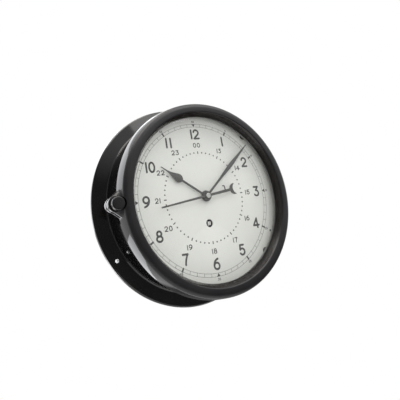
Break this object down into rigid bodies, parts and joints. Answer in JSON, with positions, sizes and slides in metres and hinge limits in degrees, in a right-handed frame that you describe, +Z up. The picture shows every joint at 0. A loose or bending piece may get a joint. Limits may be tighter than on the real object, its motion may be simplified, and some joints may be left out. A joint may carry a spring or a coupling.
{
  "type": "deck clock",
  "caption": "Round flanged wall clock with a deep black case, a hinged bezel held by a thumbscrew, a pale dial with sweep seconds, and a key-wound geared movement.",
  "frame": {"origin": "centre of the flange's flat back face, which lies against the wall", "axes": "+Z up towards 12 o'clock, +X towards 3 o'clock, +Y into the wall, so the dial faces -Y"},
  "size_m": [0.1968, 0.059, 0.1968],
  "materials": {
    "moulded_black": "gloss",
    "knob_black": "satin",
    "gasket_rubber": "matt",
    "ring_grey": "satin",
    "clear_glass": "polished",
    "dial_paint": "satin",
    "blackened_steel": "blackened",
    "hand_paint": "satin",
    "polished_steel": "polished",
    "spring_steel": "blued",
    "brass": "lacquered"
  },
  "bodies": {
    "case": {"case_body": "moulded_black", "wall_flange": "moulded_black", "latch_bush": "brass", "hinge_pin": "blackened_steel", "dial_plate": "dial_paint", "dial_screw_1": "blackened_steel", "dial_screw_2": "blackened_steel", "dial_screw_3": "blackened_steel", "dial_screw_4": "blackened_steel", "dial_foot_1": "brass", "dial_foot_2": "brass", "dial_foot_3": "brass", "front_plate": "brass", "back_plate": "brass", "pillar_1": "brass", "pillar_2": "brass", "pillar_3": "brass", "pillar_4": "brass", "click_spring": "spring_steel", "hairspring": "spring_steel", "hairspring_stud": "polished_steel", "minute_wheel_stud": "polished_steel"},
    "bezel": {"bezel_ring": "moulded_black", "bezel_glass": "clear_glass", "glass_gasket": "gasket_rubber", "glass_ring": "ring_grey", "glass_ring_screw_1": "blackened_steel", "glass_ring_screw_2": "blackened_steel", "glass_ring_screw_3": "blackened_steel", "glass_ring_screw_4": "blackened_steel"},
    "thumbscrew_carrier": {"thumbscrew_washer": "blackened_steel"},
    "thumbscrew": {"thumbscrew": "knob_black"},
    "seconds": {"seconds_arbor": "polished_steel", "fourth_wheel": "brass", "seconds_hand": "hand_paint", "seconds_hub": "polished_steel"},
    "minute": {"centre_arbor": "polished_steel", "centre_wheel": "brass", "cannon_pinion": "polished_steel", "minute_hand": "hand_paint", "minute_hand_bush": "blackened_steel"},
    "hour": {"hour_wheel": "brass", "hour_hand": "hand_paint", "hour_hand_bush": "blackened_steel"},
    "third": {"third_arbor": "polished_steel", "third_wheel": "brass"},
    "escape": {"escape_arbor": "polished_steel", "escape_wheel": "brass"},
    "barrel": {"barrel": "brass", "barrel_cover": "brass", "mainspring": "spring_steel"},
    "minute_wheel": {"minute_wheel": "brass"},
    "winding": {"winding_arbor": "polished_steel", "ratchet_wheel": "spring_steel"},
    "click": {"click": "spring_steel"},
    "lever": {"lever": "polished_steel", "lever_arbor": "polished_steel"},
    "balance": {"balance_wheel": "brass", "balance_staff": "polished_steel"},
    "index": {"regulator_index": "polished_steel"}
  },
  "joints": [
    {"name": "bezel_open", "type": "hinge", "parent": "case", "child": "bezel", "pos_m": [0.0922, -0.04555, 0], "axis": [0, 0, 1], "range_deg": [0, 120]},
    {"name": "thumbscrew_lift", "type": "slide", "parent": "bezel", "child": "thumbscrew_carrier", "axis": [0, -1, 0], "range_m": [0, 0.0044]},
    {"name": "thumbscrew_turn", "type": "hinge", "parent": "thumbscrew_carrier", "child": "thumbscrew", "pos_m": [-0.0907, -0.05, 0], "axis": [0, -1, 0], "range_deg": [0, 1585]},
    {"name": "seconds_turn", "type": "hinge", "parent": "case", "child": "seconds", "pos_m": [0, -0.03, 0], "axis": [0, 1, 0], "continuous": true},
    {"name": "minute_turn", "type": "hinge", "parent": "case", "child": "minute", "pos_m": [0, -0.032, 0], "axis": [0, 1, 0], "continuous": true},
    {"name": "hour_turn", "type": "hinge", "parent": "case", "child": "hour", "pos_m": [0, -0.039, 0], "axis": [0, 1, 0], "continuous": true},
    {"name": "third_turn", "type": "hinge", "parent": "case", "child": "third", "pos_m": [-0.01663, -0.02, 0.0096], "axis": [0, 1, 0], "continuous": true},
    {"name": "escape_turn", "type": "hinge", "parent": "case", "child": "escape", "pos_m": [0.0095, -0.02, 0.01645], "axis": [0, 1, 0], "continuous": true},
    {"name": "barrel_turn", "type": "hinge", "parent": "case", "child": "barrel", "pos_m": [0, -0.02, -0.0242], "axis": [0, 1, 0], "continuous": true},
    {"name": "minute_wheel_turn", "type": "hinge", "parent": "case", "child": "minute_wheel", "pos_m": [0.012, -0.037, 0], "axis": [0, 1, 0], "continuous": true},
    {"name": "winding_turn", "type": "hinge", "parent": "case", "child": "winding", "pos_m": [0, -0.036, -0.0242], "axis": [0, 1, 0], "range_deg": [0, 4320], "deforming": ["mainspring"]},
    {"name": "click_lift", "type": "hinge", "parent": "case", "child": "click", "pos_m": [-0.01269, -0.036, -0.01958], "axis": [0, -1, 0], "range_deg": [0, 10], "stiffness_Nm_per_rad": 0.002, "deforming": ["click_spring"]},
    {"name": "lever_rock", "type": "hinge", "parent": "case", "child": "lever", "pos_m": [0.01685, -0.02, 0.0238], "axis": [0, 1, 0], "range_deg": [-4, 4]},
    {"name": "balance_swing", "type": "hinge", "parent": "case", "child": "balance", "pos_m": [0.02817, -0.026, 0.03512], "axis": [0, 1, 0], "range_deg": [-220, 220], "stiffness_Nm_per_rad": 0.0001, "deforming": ["hairspring"]},
    {"name": "index_set", "type": "hinge", "parent": "case", "child": "index", "pos_m": [0.02817, -0.01, 0.03512], "axis": [0, 1, 0], "range_deg": [-20, 20]}
  ],
  "couplings": [
    {"joint": "thumbscrew_turn", "follows": "thumbscrew_lift", "rad_per_m": 6283.2},
    {"joint": "minute_turn", "follows": "seconds_turn", "ratio": 0.016667},
    {"joint": "hour_turn", "follows": "seconds_turn", "ratio": 0.0013889},
    {"joint": "third_turn", "follows": "seconds_turn", "ratio": -0.13333},
    {"joint": "escape_turn", "follows": "seconds_turn", "ratio": -8},
    {"joint": "barrel_turn", "follows": "seconds_turn", "ratio": -0.0020833},
    {"joint": "minute_wheel_turn", "follows": "seconds_turn", "ratio": -0.0055556}
  ]
}
